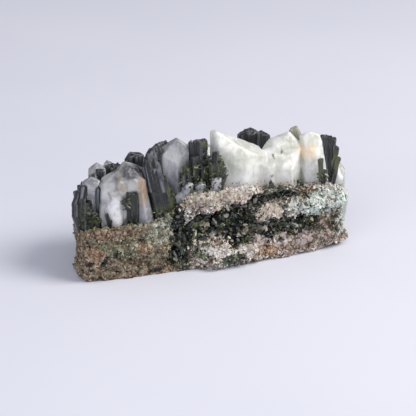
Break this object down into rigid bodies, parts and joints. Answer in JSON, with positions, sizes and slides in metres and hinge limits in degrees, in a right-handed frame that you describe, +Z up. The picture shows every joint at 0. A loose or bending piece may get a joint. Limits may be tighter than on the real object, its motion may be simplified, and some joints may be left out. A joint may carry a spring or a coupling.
{
  "type": "epidote cluster",
  "caption": "Hand specimen of dark epidote blades and pale quartz crystals standing on a flat-based slab of speckled rock with druse-lined hollows.",
  "frame": {"origin": "middle of the bounding box at the level of the flat base", "axes": "+X along the slab, +Y from its broken front face to its back, +Z up along the crystals"},
  "size_m": [0.0764, 0.0342, 0.0342],
  "materials": {
    "matrix_rock": "rough broken rock, grains of feldspar, quartz and epidote",
    "epidote": "glassy, striated along the blades",
    "epidote_druse": "small glassy crystals",
    "milky_quartz": "cloudy, with a soft glassy surface",
    "quartz": "clear to smoky, glassy"
  },
  "bodies": {
    "root": {"druse_front": "epidote_druse", "druse_gully": "epidote_druse", "epidote_back_left": "epidote", "epidote_back_middle": "epidote", "epidote_back_right": "epidote", "epidote_back_tip": "epidote", "epidote_behind_clear": "epidote", "epidote_block": "epidote", "epidote_crescent": "epidote", "epidote_green_tip": "epidote", "epidote_in_quartz": "epidote", "epidote_left_fan": "epidote", "epidote_left_tip": "epidote", "epidote_right_fan": "epidote", "epidote_seam": "epidote", "epidote_sliver": "epidote", "epidote_small_prism": "epidote", "epidote_spray": "epidote", "epidote_top_block": "epidote", "matrix": "matrix_rock", "quartz_back_centre": "quartz", "quartz_back_left": "quartz", "quartz_back_middle": "quartz", "quartz_back_right": "quartz", "quartz_back_tip": "quartz", "quartz_clear_pair": "quartz", "quartz_grey_left": "quartz", "quartz_grey_middle": "quartz", "quartz_left_tip": "quartz", "quartz_milky": "milky_quartz", "quartz_right_end": "quartz", "quartz_small_left": "quartz", "quartz_small_middle": "quartz", "quartz_small_right": "quartz"}
  },
  "joints": []
}
